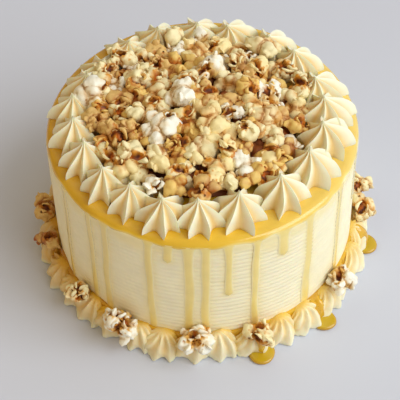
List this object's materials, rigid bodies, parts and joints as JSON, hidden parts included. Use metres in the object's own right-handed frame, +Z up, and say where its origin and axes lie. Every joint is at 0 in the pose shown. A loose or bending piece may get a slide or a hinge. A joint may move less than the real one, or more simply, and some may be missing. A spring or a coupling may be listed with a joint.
{
  "type": "salted caramel cake",
  "caption": "Tall round iced cake with a dripping caramel glaze, a ring of piped rosettes round a heap of popcorn, and a piped shell border with popcorn at its foot.",
  "frame": {"origin": "middle of the cake's flat underside", "axes": "+Z up out of the cake's top; -Y towards the side shown at the front of the picture"},
  "size_m": [0.237, 0.231, 0.136],
  "materials": {
    "icing": "soft cream-coloured buttercream, combed into fine ridges",
    "piped_icing": "soft piped buttercream, pale caramel cream",
    "caramel": "glossy golden caramel sauce",
    "popcorn": "dry popped corn, partly coated in caramel"
  },
  "bodies": {
    "root": {"cake": "icing", "caramel_glaze": "caramel", "popcorn_heap": "popcorn", "shell_border": "piped_icing", "rosette_01": "piped_icing", "rosette_02": "piped_icing", "rosette_03": "piped_icing", "rosette_04": "piped_icing", "rosette_05": "piped_icing", "rosette_06": "piped_icing", "rosette_07": "piped_icing", "rosette_08": "piped_icing", "rosette_09": "piped_icing", "rosette_10": "piped_icing", "rosette_11": "piped_icing", "rosette_12": "piped_icing", "rosette_13": "piped_icing", "rosette_14": "piped_icing", "rosette_15": "piped_icing", "rosette_16": "piped_icing", "rosette_17": "piped_icing", "rosette_18": "piped_icing", "rosette_19": "piped_icing", "rosette_20": "piped_icing", "rosette_21": "piped_icing", "base_popcorn_01": "popcorn", "base_popcorn_02": "popcorn", "base_popcorn_03": "popcorn", "base_popcorn_04": "popcorn", "base_popcorn_05": "popcorn", "base_popcorn_06": "popcorn", "base_popcorn_07": "popcorn", "base_popcorn_08": "popcorn", "base_popcorn_09": "popcorn", "base_popcorn_10": "popcorn", "base_popcorn_11": "popcorn", "base_popcorn_12": "popcorn", "base_popcorn_13": "popcorn", "caramel_pool_1": "caramel", "caramel_pool_2": "caramel", "caramel_pool_3": "caramel", "caramel_pool_4": "caramel"}
  },
  "joints": []
}
